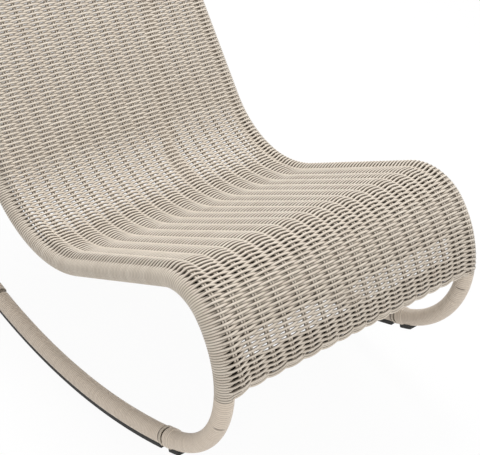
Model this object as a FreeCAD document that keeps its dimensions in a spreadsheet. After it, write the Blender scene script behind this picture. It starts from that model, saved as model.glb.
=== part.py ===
import FreeCAD
import Part
import Sketcher
import math
import os

# Armless wicker rocking chair, in millimetres.
# Each side is a closed loop of bent pole in a plane of constant X; the chair faces -Y and +Z is up.
# The loop is drawn level on its rocker and then rolled back by rest_pitch, where the empty chair balances.

DIMENSIONS = [
    ("track_width", 600, "between the side poles' centre lines"),
    ("pole_diameter", 34, "side poles, over their close cane wrapping"),
    ("seating_gap", 0.1, "between a pole and a piece seated on it"),
    ("rocker_radius", 1028, "rocker's centre line"),
    ("rocker_front_angle", 15.15, "from the rocker's lowest point to the front bend"),
    ("front_joint_angle", 14.2, "from the rocker's lowest point to the front joint"),
    ("rear_joint_angle", 18.4, "from the rocker's lowest point to the rear joint"),
    ("front_bend_radius", 188, "front bend from rocker to nose"),
    ("nose_bend_radius", 88, "bend over the seat's front edge"),
    ("nose_bend_angle", 71, "turn of that bend"),
    ("seat_slope", 20.6, "seat's fall towards the back"),
    ("seat_length", 285, "straight run of the seat"),
    ("lumbar_bend_radius", 228, "hollow between seat and back"),
    ("back_lean", 32.4, "back's lean from upright"),
    ("top_bend_radius", 58, "bend at the top of the back"),
    ("leg_lean", 10.1, "rear leg's lean from upright"),
    ("leg_setback", 487.5, "rear leg's line behind the lowest point, at that level"),
    ("rear_bend_radius", 100, "bend from rear leg to rocker"),
    ("rest_pitch", 10.8, "roll back to where the empty chair balances"),
    ("dowel_diameter", 14, "dowel inside a joint"),
    ("dowel_length", 70, "dowel from end to end"),
    ("dowel_gap", 0.1, "round and behind a dowel in its socket"),
    ("reed_width", 4, "flat reed bound over the joints, across"),
    ("reed_thickness", 1.8, "that reed, front to back"),
    ("reed_pitch", 4.8, "from one turn of the binding to the next"),
    ("rail_diameter", 16, "cross rails"),
    ("rail_offset", 3, "cross rails behind the poles' centre line"),
    ("rail_overreach", 13, "rail into a pole's outline before its end is coped"),
    ("skirt_rail_rise", 22, "skirt rail above the skirt's edge, along the pole"),
    ("nose_rail_reach", 87, "nose rail past the start of the nose bend"),
    ("lumbar_rail_reach", 115, "lumbar rail past the start of the lumbar bend"),
    ("head_rail_reach", 72, "head rail past the start of the top bend"),
    ("web_offset", 12, "web's middle in front of the poles' centre line"),
    ("web_thickness", 4.4, "web where it bends, as much solid as it has cane"),
    ("stake_step", 36, "from one pair of stakes to the next"),
    ("rib_thickness", 9.2, "straight web over a pair of stakes, from face to face"),
    ("rib_land", 6, "flat along the top of such a rib"),
    ("valley_thickness", 3.6, "straight web half way between stakes"),
    ("skirt_drop", 129, "skirt below the start of the nose bend, along the pole"),
    ("head_angle", 105, "how far the web goes over the top bend"),
    ("border_width", 570, "web's edge borders, from side to side"),
    ("border_depth", 8, "border at its narrow points"),
    ("border_scallop", 3.5, "how much further a scallop reaches"),
    ("border_thickness", 8, "border from front to back"),
    ("strip_height", 6, "runner strip below the rocker"),
    ("strip_width", 24, "runner strip across"),
    ("strip_bevel", 2, "bevel along the strip's lower edges"),
    ("strip_gap", 13, "from a joint to the strip or pad beside it"),
    ("pad_length", 24, "short runner pad past a joint"),
]
BINDING_TURNS = 1
STAKES = 17
SCALLOPS = STAKES - 1
LEAST_LENGTH = 0.001

doc = FreeCAD.newDocument("wicker_rocking_chair")
sheet = doc.addObject("Spreadsheet::Sheet", "dims")
for row, (alias, value, note) in enumerate(DIMENSIONS, start=1):
    sheet.set(f"A{row}", note)
    sheet.set(f"B{row}", str(value))
    sheet.setAlias(f"B{row}", alias)
doc.recompute()
SIZE = {alias: float(sheet.get(alias)) for alias, _, _ in DIMENSIONS}
POLE_RADIUS = SIZE["pole_diameter"] / 2
SIDES = {"left": -SIZE["track_width"] / 2, "right": SIZE["track_width"] / 2}


# Side loop: a chain of straight and round runs in the side plane

def point(y, z):
    """A point of a sketch in the side plane."""
    return FreeCAD.Vector(y, z, 0)


def along(heading):
    """Unit vector of a heading in degrees."""
    return point(math.cos(math.radians(heading)), math.sin(math.radians(heading)))


def outward(heading):
    """Unit vector to the loop's outer side, which is to the left of the heading."""
    return along(heading + 90)


class Run:
    """One run of the loop: a straight of a length, or a bend of a radius whose left turns are positive."""

    def __init__(self, start, heading, turn, size, cell=None):
        self.start = start
        self.heading = heading
        self.turn = turn
        self.size = size
        self.cell = cell
        self.hand = math.copysign(1, turn)
        self.length = size * math.radians(abs(turn)) if turn else size

    def heading_at(self, distance):
        return self.heading + self.turn * distance / self.length

    def point_at(self, distance, offset=0):
        if not self.turn:
            return self.start + along(self.heading) * distance + outward(self.heading) * offset
        centre = self.start + outward(self.heading) * self.hand * self.size
        return centre + outward(self.heading_at(distance)) * (offset - self.hand * self.size)

    def follow(self, turn, size, cell=None):
        """The run that carries on smoothly from this one."""
        return Run(self.point_at(self.length), self.heading_at(self.length), turn, size, cell)

    def rolled(self, pivot, angle):
        """The run turned about a pivot."""
        arm = self.start - pivot
        bearing = math.degrees(math.atan2(arm.y, arm.x)) + angle
        start = pivot + along(bearing) * arm.Length
        return Run(start, self.heading + angle, self.turn, self.size, self.cell)

    def shifted(self, shift):
        return Run(self.start + shift, self.heading, self.turn, self.size, self.cell)


def level_loop(hub):
    """The runs of one side loop, level on its rocker, from the rear joint forwards and round."""
    radius = SIZE["rocker_radius"]
    rear = -SIZE["rear_joint_angle"]
    front = SIZE["rocker_front_angle"]
    rocker = Run(hub + outward(180 - rear) * radius, 180 - rear, rear - front, radius, "rocker_radius")
    nose_turn = SIZE["nose_bend_angle"]
    front_turn = 180 + SIZE["seat_slope"] - front - nose_turn
    front_bend = rocker.follow(-front_turn, SIZE["front_bend_radius"], "front_bend_radius")
    nose = front_bend.follow(-nose_turn, SIZE["nose_bend_radius"], "nose_bend_radius")
    seat = nose.follow(0, SIZE["seat_length"])
    lumbar_turn = 90 + SIZE["seat_slope"] - SIZE["back_lean"]
    lumbar = seat.follow(lumbar_turn, SIZE["lumbar_bend_radius"], "lumbar_bend_radius")

    # The back and the rear leg are straight lines that the top bend rounds off
    back_heading = 90 - SIZE["back_lean"]
    leg_heading = -90 - SIZE["leg_lean"]
    to_leg = point(SIZE["leg_setback"], 0) - lumbar.point_at(lumbar.length)
    apex = to_leg.dot(outward(leg_heading)) / along(back_heading).dot(outward(leg_heading))
    top_turn = back_heading - leg_heading
    top_radius = SIZE["top_bend_radius"]
    back = lumbar.follow(0, apex - top_radius * math.tan(math.radians(top_turn / 2)))
    top = back.follow(-top_turn, top_radius, "top_bend_radius")

    # The rear bend touches the leg's line and runs on into the rocker's circle
    bend_radius = SIZE["rear_bend_radius"]
    inside = top.point_at(top.length, -bend_radius) - hub
    drop = inside.dot(along(leg_heading))
    leg = top.follow(0, math.sqrt(drop ** 2 - inside.dot(inside) + (radius - bend_radius) ** 2) - drop)
    bend_hub = leg.point_at(leg.length, -bend_radius) - hub
    meet = math.degrees(math.atan2(-bend_hub.x, -bend_hub.y))
    rear_bend = leg.follow(-(leg_heading + 180 + meet), bend_radius, "rear_bend_radius")
    tail = rear_bend.follow(meet - rear, radius, "rocker_radius")
    return [rocker, front_bend, nose, seat, lumbar, back, top, leg, rear_bend, tail]


def resting_loop():
    """The loop rolled back to its rest, centred along Y and standing on its runner strips at Z 0."""
    hub = point(0, SIZE["rocker_radius"])
    runs = [run.rolled(hub, -SIZE["rest_pitch"]) for run in level_loop(hub)]
    samples = 90
    depths = [run.point_at(run.length * step / samples).x for run in runs for step in range(samples + 1)]
    shift = point(-(min(depths) + max(depths)) / 2, POLE_RADIUS + SIZE["strip_height"])
    return [run.shifted(shift) for run in runs]


LOOP = resting_loop()
ROCKER, FRONT_BEND, NOSE, SEAT, LUMBAR, BACK, TOP = LOOP[:7]
LOOP_LENGTH = sum(run.length for run in LOOP)

# Distances along the loop from the rear joint
FRONT_JOINT = SIZE["rocker_radius"] * math.radians(SIZE["rear_joint_angle"] + SIZE["front_joint_angle"])
NOSE_START = ROCKER.length + FRONT_BEND.length
SKIRT_EDGE = NOSE_START - SIZE["skirt_drop"]
SEAT_START = NOSE_START + NOSE.length
LUMBAR_START = SEAT_START + SEAT.length
BACK_START = LUMBAR_START + LUMBAR.length
TOP_START = BACK_START + BACK.length
HEAD_EDGE = TOP_START + TOP.size * math.radians(SIZE["head_angle"])

RAILS = {
    "skirt_rail": SKIRT_EDGE + SIZE["skirt_rail_rise"],
    "nose_rail": NOSE_START + SIZE["nose_rail_reach"],
    "lumbar_rail": LUMBAR_START + SIZE["lumbar_rail_reach"],
    "head_rail": TOP_START + SIZE["head_rail_reach"],
}


def stretches(first, last):
    """The pieces (run, from, to) of the loop between two distances from the rear joint."""
    found = []
    begin = 0
    for run in LOOP:
        low = max(first - begin, 0)
        high = min(last - begin, run.length)
        if high - low > LEAST_LENGTH:
            found.append((run, low, high))
        begin += run.length
    return found


def place(distance, offset=0):
    """The loop's point and heading at a distance from the rear joint."""
    run, low, _ = stretches(distance % LOOP_LENGTH, LOOP_LENGTH)[0]
    return run.point_at(low, offset), run.heading_at(low)


# Sketches and features

NODES = []


def new_body(label, x=0):
    body = doc.addObject("PartDesign::Body", label)
    body.Label = label
    body.Placement = FreeCAD.Placement(FreeCAD.Vector(x, 0, 0), FreeCAD.Rotation())
    NODES.append(body)
    return body


def new_sketch(body, name, role="YZ_Plane", offset=None):
    sketch = body.newObject("Sketcher::SketchObject", name)
    plane = next(feature for feature in body.Origin.OriginFeatures if feature.Role == role)
    sketch.AttachmentSupport = [(plane, "")]
    sketch.MapMode = "FlatFace"
    if offset:
        sketch.AttachmentOffset = offset
    return sketch


def bind_radius(sketch, index, radius, expression):
    number = sketch.addConstraint(Sketcher.Constraint("Radius", index, radius))
    sketch.setExpression(f"Constraints[{number}]", expression)


def add_circle(sketch, expression, centre=point(0, 0)):
    index = sketch.addGeometry(Part.Circle(centre, FreeCAD.Vector(0, 0, 1), 1))
    if centre.Length:
        sketch.addConstraint(Sketcher.Constraint("DistanceX", -1, 1, index, 3, centre.x))
        sketch.addConstraint(Sketcher.Constraint("DistanceY", -1, 1, index, 3, centre.y))
    else:
        sketch.addConstraint(Sketcher.Constraint("Coincident", index, 3, -1, 1))
    bind_radius(sketch, index, 1, expression)


def add_section(body, run, distance):
    """An empty sketch square to a run; its y axis points to the loop's outer side."""
    heading = run.heading_at(distance)
    turn = FreeCAD.Rotation(FreeCAD.Vector(0, 0, -1), outward(heading), along(heading), "ZXY")
    return new_sketch(body, "section", offset=FreeCAD.Placement(run.point_at(distance), turn))


def add_bend_axis(sketch, run):
    """The line that a bend turns about, at the bend's radius from the section's middle."""
    height = run.hand * run.size
    line = Part.LineSegment(point(0, height), point(-height, height))
    index = sketch.addGeometry(line, True)
    sketch.addConstraint(Sketcher.Constraint("Horizontal", index))
    number = sketch.addConstraint(Sketcher.Constraint("DistanceY", -1, 1, index, 1, height))
    sketch.setExpression(f"Constraints[{number}]", f"{run.hand:.0f} * dims.{run.cell}")


def carry(body, pieces, draw):
    """Carries a section along the loop: padded where it is straight, revolved where it bends."""
    for run, first, last in pieces:
        section = add_section(body, run, first)
        draw(section)
        if run.turn:
            add_bend_axis(section, run)
            feature = body.newObject("PartDesign::Revolution", "bend")
            feature.Profile = section
            feature.ReferenceAxis = (section, ["Axis0"])
            feature.Angle = abs(run.turn) * (last - first) / run.length
        else:
            feature = body.newObject("PartDesign::Pad", "straight")
            feature.Profile = section
            feature.Length = last - first


def pad(body, sketch, expression):
    feature = body.newObject("PartDesign::Pad", "pad")
    feature.Profile = sketch
    feature.Midplane = True
    feature.setExpression("Length", expression)


# Poles and the dowelled joints between them

POLE = "dims.pole_diameter / 2"
POLE_SEAT = "dims.pole_diameter / 2 + dims.seating_gap"
JOINTS = {"front": FRONT_JOINT, "rear": 0}


def add_socket(body, run, distance, forwards):
    """Bores a dowel's socket into a pole's end; forwards is along the loop's heading."""
    section = add_section(body, run, distance)
    add_circle(section, "dims.dowel_diameter / 2 + dims.dowel_gap")
    socket = body.newObject("PartDesign::Pocket", "socket")
    socket.Profile = section
    socket.setExpression("Length", "dims.dowel_length / 2 + dims.dowel_gap")
    socket.Reversed = forwards


def draw_pole(sketch):
    add_circle(sketch, POLE)


def make_pole(label, x, first, last):
    pole = new_body(label, x)
    pieces = stretches(first, last)
    carry(pole, pieces, draw_pole)
    add_socket(pole, pieces[0][0], pieces[0][1], True)
    add_socket(pole, pieces[-1][0], pieces[-1][2], False)


def make_dowel(side, x, end):
    spot, heading = place(JOINTS[end])
    way = FreeCAD.Vector(0, along(heading).x, along(heading).y)
    dowel = doc.addObject("Part::Cylinder", f"{side}_{end}_dowel")
    dowel.Label = f"{side}_{end}_dowel"
    dowel.setExpression("Radius", "dims.dowel_diameter / 2")
    dowel.setExpression("Height", "dims.dowel_length")
    start = FreeCAD.Vector(x, spot.x, spot.y) - way * (SIZE["dowel_length"] / 2)
    dowel.Placement = FreeCAD.Placement(start, FreeCAD.Rotation(FreeCAD.Vector(0, 0, 1), way))
    NODES.append(dowel)


def biarc(start, start_way, end, end_way):
    """Two arcs that join smoothly between two points with given directions."""
    gap = end - start
    way = start_way + end_way
    bend = 2 * (1 - start_way.dot(end_way))
    reach = (math.sqrt(gap.dot(way) ** 2 + bend * gap.dot(gap)) - gap.dot(way)) / bend
    middle = (start + start_way * reach + end - end_way * reach) * 0.5
    return [arc_from(start, start_way, middle), arc_from(end, end_way * -1, middle, True)]


def arc_from(start, way, end, backwards=False):
    """The arc that leaves a point along a direction and reaches another point."""
    chord = end - start
    unit = chord * (1 / chord.Length)
    rise = way - unit * way.dot(unit)
    half_angle = math.atan2(rise.Length, way.dot(unit)) / 2
    crown = (start + end) * 0.5 + rise * (chord.Length / 2 * math.tan(half_angle) / rise.Length)
    ends = (end, start) if backwards else (start, end)
    return Part.Arc(ends[0], crown, ends[1]).toShape()


def least_gap(spine):
    """Least distance between points of a winding that are half a turn or more apart."""
    per_turn = 24
    points = spine.discretize(Number=per_turn * BINDING_TURNS + 1)
    gaps = []
    for number, spot in enumerate(points):
        gaps += [spot.distanceToPoint(other) for other in points[number + per_turn // 2:]]
    return min(gaps)


def make_binding(side, x, end):
    """Flat reed wound over a joint, one unbroken helix of quarter turns."""
    spot, heading = place(JOINTS[end])
    hub = FreeCAD.Vector(x, spot.x, spot.y)
    axis = FreeCAD.Vector(0, along(heading).x, along(heading).y)
    across = FreeCAD.Vector(1, 0, 0)
    out = axis.cross(across)
    half_thickness = SIZE["reed_thickness"] / 2
    half_width = SIZE["reed_width"] / 2
    radius = POLE_RADIUS + SIZE["seating_gap"] + half_thickness
    pitch = SIZE["reed_pitch"]
    quarters = 4 * BINDING_TURNS

    def station(quarter):
        angle = quarter * math.pi / 2
        spoke = across * math.cos(angle) + out * math.sin(angle)
        where = hub + spoke * radius + axis * (pitch * (quarter - quarters / 2) / 4)
        way = axis.cross(spoke) * radius + axis * (pitch / 2 / math.pi)
        return where, way.normalize()

    edges = []
    for quarter in range(quarters):
        edges += biarc(*station(quarter), *station(quarter + 1))
    spine = Part.Wire(edges)
    start, way = station(0)
    thick = across * half_thickness
    wide = way.cross(across) * half_width
    profile = Part.makePolygon([start + thick + wide, start + thick - wide, start - thick - wide,
                                start - thick + wide, start + thick + wide])
    winding = Part.BRepOffsetAPI.MakePipeShell(spine)
    winding.setBiNormalMode(axis)
    winding.add(profile)
    winding.build()
    winding.makeSolid()
    binding = doc.addObject("Part::Feature", f"{side}_{end}_binding")
    binding.Label = f"{side}_{end}_binding"
    binding.Shape = winding.shape()
    NODES.append(binding)
    print(f"{binding.Label}: least gap between turns {least_gap(spine) - SIZE['reed_width']:.2f} mm")


# Cross rails and the woven web

def make_rail(label, distance):
    """A round rail whose ends are coped to the side poles."""
    rail = new_body(label)
    section = new_sketch(rail, "section")
    add_circle(section, "dims.rail_diameter / 2", place(distance, -SIZE["rail_offset"])[0])
    pad(rail, section, f"dims.track_width - {POLE} * 2 + dims.rail_overreach * 2")
    run, along_run, _ = stretches(distance, LOOP_LENGTH)[0]
    cope = add_section(rail, run, along_run)
    for x in SIDES.values():
        add_circle(cope, POLE_SEAT, point(x, 0))
    pocket = rail.newObject("PartDesign::Pocket", "cope")
    pocket.Profile = cope
    pocket.Midplane = True
    pocket.setExpression("Length", "2 * dims.rail_diameter")


def draw_web(sketch, ribs=()):
    """Section of a panel between the side poles, its edges hollowed to seat on them.

    ribs lists points across both faces, from left to right, as X and thickness there."""
    seat = POLE_RADIUS + SIZE["seating_gap"]
    half_track = SIZE["track_width"] / 2
    middle = SIZE["web_offset"]
    heights = [middle + way * SIZE["web_thickness"] / 2 for way in (-1, 0, 1)]
    reaches = [half_track - math.sqrt(seat ** 2 - height ** 2) for height in heights]
    for way in (-1, 1):
        edge = [point(way * reach, height) for reach, height in zip(reaches, heights)]
        index = sketch.addGeometry(Part.Arc(*edge))
        bind_radius(sketch, index, seat, POLE_SEAT)
    for face, reach, height in zip((-1, 1), reaches[::2], heights[::2]):
        corners = [point(-reach, height)]
        corners += [point(x, middle + face * thickness / 2) for x, thickness in ribs]
        corners.append(point(reach, height))
        for start, end in zip(corners, corners[1:]):
            sketch.addGeometry(Part.LineSegment(start, end))


def draw_ribbed_web(sketch):
    """Section of a straight panel, ribbed on both faces where the weave crosses its inner stakes."""
    step = SIZE["stake_step"]
    half_land = SIZE["rib_land"] / 2
    outermost = step * (STAKES - 3) / 2
    ribs = [(-outermost - step / 2, SIZE["valley_thickness"])]
    for number in range(STAKES - 2):
        x = number * step - outermost
        ribs += [(x - half_land, SIZE["rib_thickness"]), (x + half_land, SIZE["rib_thickness"])]
        ribs.append((x + step / 2, SIZE["valley_thickness"]))
    draw_web(sketch, ribs)


def make_web(label, first, last, draw=draw_web):
    carry(new_body(label), stretches(first, last), draw)


def make_border(label, distance, way):
    """Scalloped edge of the web; way is -1 where it hangs below the skirt and 1 past the head."""
    spot, heading = place(distance, SIZE["web_offset"])
    border = new_body(label)
    across = FreeCAD.Vector(1, 0, 0)
    down = FreeCAD.Vector(0, along(heading).x, along(heading).y) * way
    turn = FreeCAD.Rotation(across, down, across.cross(down), "XYZ")
    border.Placement = FreeCAD.Placement(FreeCAD.Vector(0, spot.x, spot.y), turn)
    outline = new_sketch(border, "outline", "XY_Plane")
    half = SIZE["border_width"] / 2
    depth = SIZE["border_depth"]
    step = SIZE["border_width"] / SCALLOPS
    outline.addGeometry(Part.LineSegment(point(-half, 0), point(half, 0)))
    outline.addGeometry(Part.LineSegment(point(half, 0), point(half, depth)))
    outline.addGeometry(Part.LineSegment(point(-half, 0), point(-half, depth)))
    for number in range(SCALLOPS):
        left = -half + number * step
        crown = point(left + step / 2, depth + SIZE["border_scallop"])
        outline.addGeometry(Part.Arc(point(left, depth), crown, point(left + step, depth)))
    pad(border, outline, "dims.border_thickness")


# Runner strips and pads under the rockers

def draw_runner(sketch):
    """Strip section: hollow where it sits on the rocker, flat and bevelled where it meets the floor."""
    seat = POLE_RADIUS + SIZE["seating_gap"]
    half = SIZE["strip_width"] / 2
    bevel = SIZE["strip_bevel"]
    floor = POLE_RADIUS + SIZE["strip_height"]
    shoulder = math.sqrt(seat ** 2 - half ** 2)
    corners = [
        point(half, shoulder),
        point(half, floor - bevel),
        point(half - bevel, floor),
        point(bevel - half, floor),
        point(-half, floor - bevel),
        point(-half, shoulder),
    ]
    for start, end in zip(corners, corners[1:]):
        sketch.addGeometry(Part.LineSegment(start, end))
    index = sketch.addGeometry(Part.Arc(corners[-1], point(0, seat), corners[0]))
    bind_radius(sketch, index, seat, POLE_SEAT)


def make_runners(side, x):
    gap = SIZE["strip_gap"]
    reach = gap + SIZE["pad_length"]
    runners = {
        "runner_strip": (gap, FRONT_JOINT - gap),
        "front_runner_pad": (FRONT_JOINT + gap, FRONT_JOINT + reach),
        "rear_runner_pad": (LOOP_LENGTH - reach, LOOP_LENGTH - gap),
    }
    for name, (first, last) in runners.items():
        runner = new_body(f"{side}_{name}", x)
        carry(runner, stretches(first, last), draw_runner)


for side, x in SIDES.items():
    make_pole(f"{side}_side_pole", x, FRONT_JOINT, LOOP_LENGTH)
    make_pole(f"{side}_rocker_pole", x, 0, FRONT_JOINT)
    make_runners(side, x)
    for end in JOINTS:
        make_dowel(side, x, end)
        make_binding(side, x, end)
for label, distance in RAILS.items():
    make_rail(label, distance)
make_web("front_web", SKIRT_EDGE, SEAT_START)
make_web("seat_web", SEAT_START, LUMBAR_START, draw_ribbed_web)
make_web("lumbar_web", LUMBAR_START, BACK_START)
make_web("back_web", BACK_START, TOP_START, draw_ribbed_web)
make_web("head_web", TOP_START, HEAD_EDGE)
make_border("skirt_border", SKIRT_EDGE, -1)
make_border("head_border", HEAD_EDGE, 1)

doc.recompute()
for item in doc.Objects:
    if "Invalid" in item.State or "Error" in item.State:
        raise RuntimeError(f"{item.Label} failed: {item.State}")
for node in NODES:
    if node.Shape.isNull() or not node.Shape.isValid():
        raise RuntimeError(f"{node.Label} has no valid shape")

os.makedirs("parts", exist_ok=True)
for node in NODES:
    node.Shape.exportStep(f"parts/{node.Label}.step")
print(f"wrote {len(NODES)} nodes; one side loop is {LOOP_LENGTH:.0f} mm round")
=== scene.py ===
# %% [markdown]
# # Wicker rocking chair
# The chair is two closed loops of bent pole, one at each side, with one long web of cane woven between
# them: down the front as a skirt, over the nose, along the seat and up the back. The construction model
# already holds the poles, rails and runners at their real size. It is loaded first and never moved, so
# that everything modelled here lands on it with no fitting.

# %% Load the frame
import math

import bpy
import numpy as np
from mathutils import Matrix, Vector


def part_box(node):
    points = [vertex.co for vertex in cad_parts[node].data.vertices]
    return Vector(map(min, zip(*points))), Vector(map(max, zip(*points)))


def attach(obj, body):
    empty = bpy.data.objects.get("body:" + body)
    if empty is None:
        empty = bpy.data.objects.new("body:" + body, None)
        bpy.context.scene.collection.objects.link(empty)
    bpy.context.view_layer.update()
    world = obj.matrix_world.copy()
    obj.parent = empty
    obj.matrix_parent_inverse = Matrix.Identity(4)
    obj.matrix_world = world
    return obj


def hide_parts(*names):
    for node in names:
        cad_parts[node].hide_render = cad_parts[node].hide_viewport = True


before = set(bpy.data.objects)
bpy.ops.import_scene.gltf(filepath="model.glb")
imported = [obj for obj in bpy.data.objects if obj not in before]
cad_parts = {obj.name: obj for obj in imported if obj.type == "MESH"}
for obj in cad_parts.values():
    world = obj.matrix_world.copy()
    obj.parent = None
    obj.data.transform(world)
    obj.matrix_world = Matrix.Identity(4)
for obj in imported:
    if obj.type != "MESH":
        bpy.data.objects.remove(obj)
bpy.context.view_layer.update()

# %% [markdown]
# ## The side loop
# Each side is a chain of arcs and straights in a plane of constant X. A pole bender reads it as a list of
# turns and lengths, and so does this script: a point of the side plane is the complex number y + z j, and
# walking along a run is one short formula. Drawing the loop by hand as a curve would also work, but then
# the weave could not ask where it is, and which way it heads, at any distance along the pole.

# %% Sizes of the side loop
MM = 0.001
HALF_TRACK = 300 * MM
POLE_RADIUS = 17 * MM
STRIP_HEIGHT = 6 * MM
ROCKER_RADIUS = 1028 * MM
ROCKER_FRONT = math.radians(15.15)
FRONT_JOINT_ANGLE = math.radians(14.2)
REAR_JOINT_ANGLE = math.radians(18.4)
FRONT_BEND_RADIUS = 188 * MM
NOSE_BEND_RADIUS = 88 * MM
NOSE_TURN = math.radians(71)
SEAT_SLOPE = math.radians(20.6)
SEAT_LENGTH = 285 * MM
LUMBAR_BEND_RADIUS = 228 * MM
BACK_LEAN = math.radians(32.4)
TOP_BEND_RADIUS = 58 * MM
LEG_LEAN = math.radians(10.1)
LEG_SETBACK = 487.5 * MM
REAR_BEND_RADIUS = 100 * MM
REST_PITCH = math.radians(10.8)
SKIRT_DROP = 129 * MM
HEAD_ANGLE = math.radians(105)


def dot(first, second):
    """Scalar product of two points of the side plane."""
    return (first * second.conjugate()).real


def heading_to(angle):
    """Unit step along a heading, as a complex number."""
    return np.exp(1j * angle)


def bend(turn, radius):
    """A run that turns by an angle, left turns positive."""
    return turn, abs(turn) * radius


def walk(start, heading, runs):
    """Where each run (turn, length) starts and which way it heads, with the end of the last one."""
    places = [(start, heading)]
    for turn, length in runs:
        if turn:
            step = (heading_to(heading + turn) - heading_to(heading)) * length / turn / 1j
        else:
            step = length * heading_to(heading)
        start = start + step
        heading = heading + turn
        places.append((start, heading))
    return places


# %% [markdown]
# ## Closing the loop
# The first runs follow from their own turns and lengths, but the loop has to close. So the back is as
# long as its line needs to meet the rear leg's, and the leg ends where the rear bend can touch the
# rocker's circle. Distances along the pole are counted from the rear joint, forwards along the rocker and
# round.

# %% Chain the runs from the rear joint forwards and round
hub = 1j * ROCKER_RADIUS
first_heading = math.pi + REAR_JOINT_ANGLE
first_point = hub + 1j * heading_to(first_heading) * ROCKER_RADIUS
runs = [
    bend(-REAR_JOINT_ANGLE - ROCKER_FRONT, ROCKER_RADIUS),
    bend(-(math.pi + SEAT_SLOPE - ROCKER_FRONT - NOSE_TURN), FRONT_BEND_RADIUS),
    bend(-NOSE_TURN, NOSE_BEND_RADIUS),
    (0, SEAT_LENGTH),
    bend(math.pi / 2 + SEAT_SLOPE - BACK_LEAN, LUMBAR_BEND_RADIUS),
]

# The back and the rear leg are straight lines that the top bend rounds off
back_start, back_heading = walk(first_point, first_heading, runs)[-1]
back_heading = back_heading + 2 * math.pi * round(-back_heading / (2 * math.pi))
leg_heading = -math.pi / 2 - LEG_LEAN
leg_side = 1j * heading_to(leg_heading)
top_turn = back_heading - leg_heading
to_apex = dot(LEG_SETBACK - back_start, leg_side) / dot(heading_to(back_heading), leg_side)
runs.append((0, to_apex - TOP_BEND_RADIUS * math.tan(top_turn / 2)))
runs.append(bend(-top_turn, TOP_BEND_RADIUS))

# The rear bend touches the leg's line and runs on into the rocker's circle
leg_start = walk(first_point, first_heading, runs)[-1][0]
inside = leg_start - leg_side * REAR_BEND_RADIUS - hub
drop = dot(inside, heading_to(leg_heading))
reach = (ROCKER_RADIUS - REAR_BEND_RADIUS) ** 2 - abs(inside) ** 2 + drop ** 2
leg_length = math.sqrt(reach) - drop
bend_hub = inside + leg_length * heading_to(leg_heading)
meet = math.atan2(-bend_hub.real, -bend_hub.imag)
runs.append((0, leg_length))
runs.append(bend(-(leg_heading + math.pi + meet), REAR_BEND_RADIUS))
runs.append(bend(meet + REAR_JOINT_ANGLE, ROCKER_RADIUS))

RUN_TURNS = np.array([turn for turn, _ in runs])
RUN_LENGTHS = np.array([length for _, length in runs])
RUN_ENDS = np.cumsum(RUN_LENGTHS)
RUN_BEGINS = RUN_ENDS - RUN_LENGTHS
LOOP_LENGTH = RUN_ENDS[-1]
FRONT_JOINT = ROCKER_RADIUS * (REAR_JOINT_ANGLE + FRONT_JOINT_ANGLE)
NOSE_START, SEAT_START, LUMBAR_START, BACK_START, TOP_START = RUN_BEGINS[2:7]
SKIRT_EDGE = NOSE_START - SKIRT_DROP
HEAD_EDGE = TOP_START + HEAD_ANGLE * TOP_BEND_RADIUS
woven = HEAD_EDGE - SKIRT_EDGE
print(f"one side loop is {LOOP_LENGTH / MM:.0f} mm round, {woven / MM:.0f} mm of it woven")

# %% [markdown]
# ## At rest
# The chair was drawn level on its rockers. Left alone it rolls back until its weight is over the line
# where it touches the floor, and the construction model stands at that angle. The loop is turned about
# the rocker's centre by the same angle, then moved until it is centred front to back and stands on its
# runner strips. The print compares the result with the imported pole.

# %% Roll the loop to its rest


def rolled(place):
    """A point of the level drawing, turned about the rocker's centre to the resting angle."""
    return hub + (place - hub) * heading_to(-REST_PITCH)


def runs_from(start, heading):
    """Starts and headings of all runs, walked from a point along a heading."""
    places = walk(start, heading, runs)[:-1]
    return np.array([place for place, _ in places]), np.array([way for _, way in places])


RUN_STARTS, RUN_HEADINGS = runs_from(rolled(first_point), first_heading - REST_PITCH)


def locate(distance, offset=0.0):
    """Points (y, z) at distances from the rear joint and offsets to the loop's outer side, and headings."""
    distance = np.asarray(distance, float) % LOOP_LENGTH
    index = np.minimum(np.searchsorted(RUN_ENDS, distance, side="right"), len(RUN_ENDS) - 1)
    local = distance - RUN_BEGINS[index]
    curve = RUN_TURNS[index] / RUN_LENGTHS[index]
    before = RUN_HEADINGS[index]
    heading = before + curve * local
    straight = local * heading_to(before)
    round_step = (heading_to(heading) - heading_to(before)) / (1j * np.where(curve == 0, 1, curve))
    place = RUN_STARTS[index] + np.where(curve == 0, straight, round_step)
    return place + 1j * offset * heading_to(heading), heading


ALL_ROUND = np.linspace(0, LOOP_LENGTH, 3000)
outline = locate(ALL_ROUND)[0]
to_rest = -(outline.real.min() + outline.real.max()) / 2 + 1j * (POLE_RADIUS + STRIP_HEIGHT)
RUN_STARTS = RUN_STARTS + to_rest
packed_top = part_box("left_side_pole")[1].z
crown = locate(ALL_ROUND)[0].imag.max() + POLE_RADIUS
print(f"top of the loop {crown / MM:.2f} mm, packed pole {packed_top / MM:.2f} mm")

# %% [markdown]
# ## Camera
# The photograph's viewing angle was found by fitting the level drawing to the picture: how far the camera
# is turned about the upright, how far it looks down, and its focal length in pixels. Turning the camera
# together with the chair keeps the picture the same, so it takes the same roll as the loop.

# %% Camera at the photograph's angle
PICTURE_WIDTH = 480
FOCAL_PIXELS = 1104.22
CAMERA_TURN = -0.715072
CAMERA_TILT = 0.493608
CAMERA_PLACE = (-1.20846, -1.4913 + 1.27089j)


def with_roll(vector):
    """A direction of the level drawing, turned to the resting angle."""
    turned = (vector[1] + 1j * vector[2]) * heading_to(-REST_PITCH)
    return Vector((vector[0], turned.real, turned.imag))


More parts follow.
